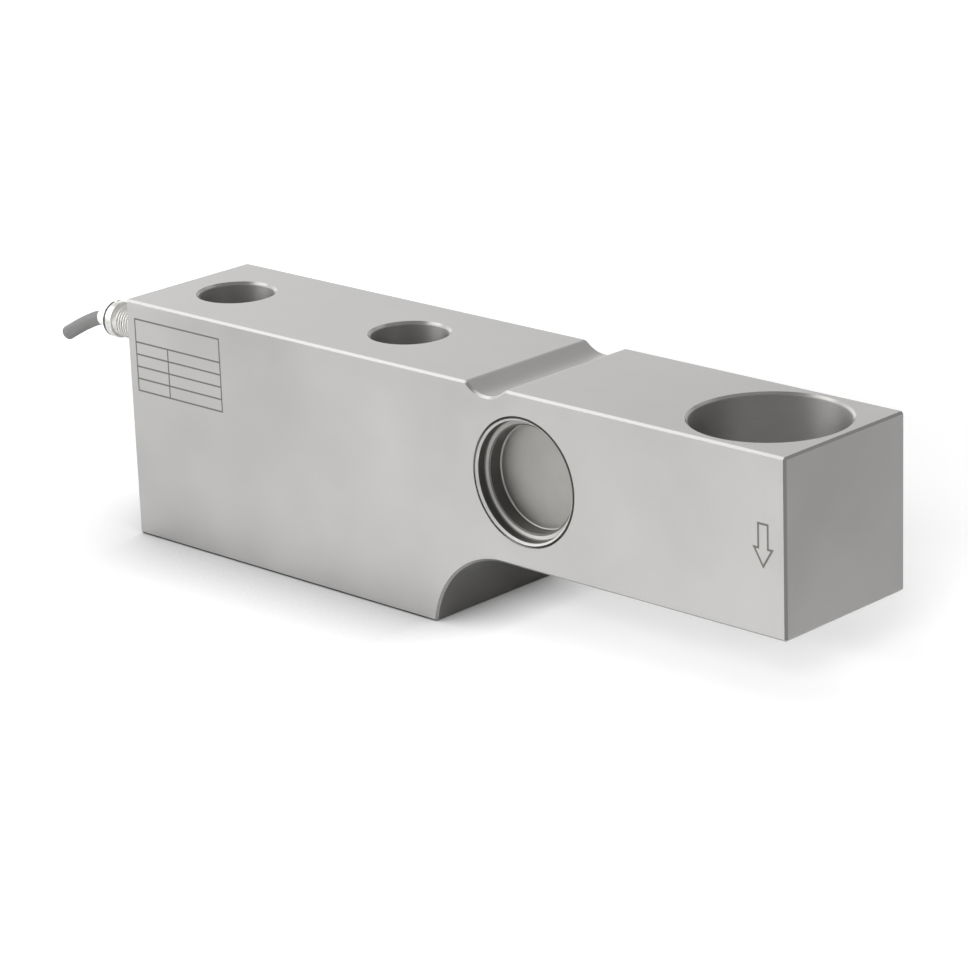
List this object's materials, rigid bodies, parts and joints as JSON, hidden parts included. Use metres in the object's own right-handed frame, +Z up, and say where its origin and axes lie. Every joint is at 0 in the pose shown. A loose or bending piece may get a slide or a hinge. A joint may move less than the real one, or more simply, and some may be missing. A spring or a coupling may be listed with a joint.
{
  "type": "shear beam load cell",
  "caption": "Stainless shear beam load cell: deep bolted foot, slim load end with a through bore, welded gauge pockets and a short cable stub at a screwed gland.",
  "frame": {"origin": "midway between the two mounting bolt holes, on the face that the foot stands on", "axes": "+X along the beam from the cable end to the load end, +Y across the beam to the far side, +Z up, against the load"},
  "size_m": [0.3449, 0.06, 0.088],
  "materials": {
    "beam_steel": "fine bead-blasted stainless steel",
    "cover_steel": "deep-drawn stainless sheet, satin",
    "gauge_film": "amber polyimide film",
    "gauge_foil": "etched constantan foil",
    "silicone_bed": "white cured silicone",
    "circuit_board": "glass-epoxy board with green solder mask",
    "solder": "tinned copper",
    "resistor_ceramic": "chip with black overcoat",
    "lead_enamel": "enamelled copper wire",
    "lead_insulation": "fine hook-up wire with yellow insulation",
    "core_red": "red core insulation",
    "core_green": "green core insulation",
    "core_white": "white core insulation",
    "core_black": "black core insulation",
    "potting": "cast black epoxy",
    "gland_metal": "turned stainless steel, bright",
    "washer_metal": "punched stainless washer",
    "seal_rubber": "black nitrile rubber",
    "bush_plastic": "natural white acetal",
    "cable_jacket": "grey polyurethane jacket",
    "cable_braid": "tinned copper braid"
  },
  "bodies": {
    "root": {"beam_body": "beam_steel", "near_cover": "cover_steel", "far_cover": "cover_steel", "near_gauge_carrier": "gauge_film", "far_gauge_carrier": "gauge_film", "near_gauge_grid": "gauge_foil", "far_gauge_grid": "gauge_foil", "board_bed": "silicone_bed", "terminal_board": "circuit_board", "board_pads": "solder", "span_resistor": "resistor_ceramic", "zero_resistor": "resistor_ceramic", "temperature_resistor": "resistor_ceramic", "far_terminal_strip": "circuit_board", "far_strip_pads": "solder", "near_gauge_leads": "lead_enamel", "far_gauge_leads": "lead_enamel", "crossover_leads": "lead_insulation", "core_red": "core_red", "core_green": "core_green", "core_white": "core_white", "core_black": "core_black", "entry_potting": "potting", "gland_screw": "gland_metal", "thrust_washer": "washer_metal", "gland_seal": "seal_rubber", "gland_bush": "bush_plastic", "cable_jacket": "cable_jacket", "cable_shield": "cable_braid"}
  },
  "joints": []
}
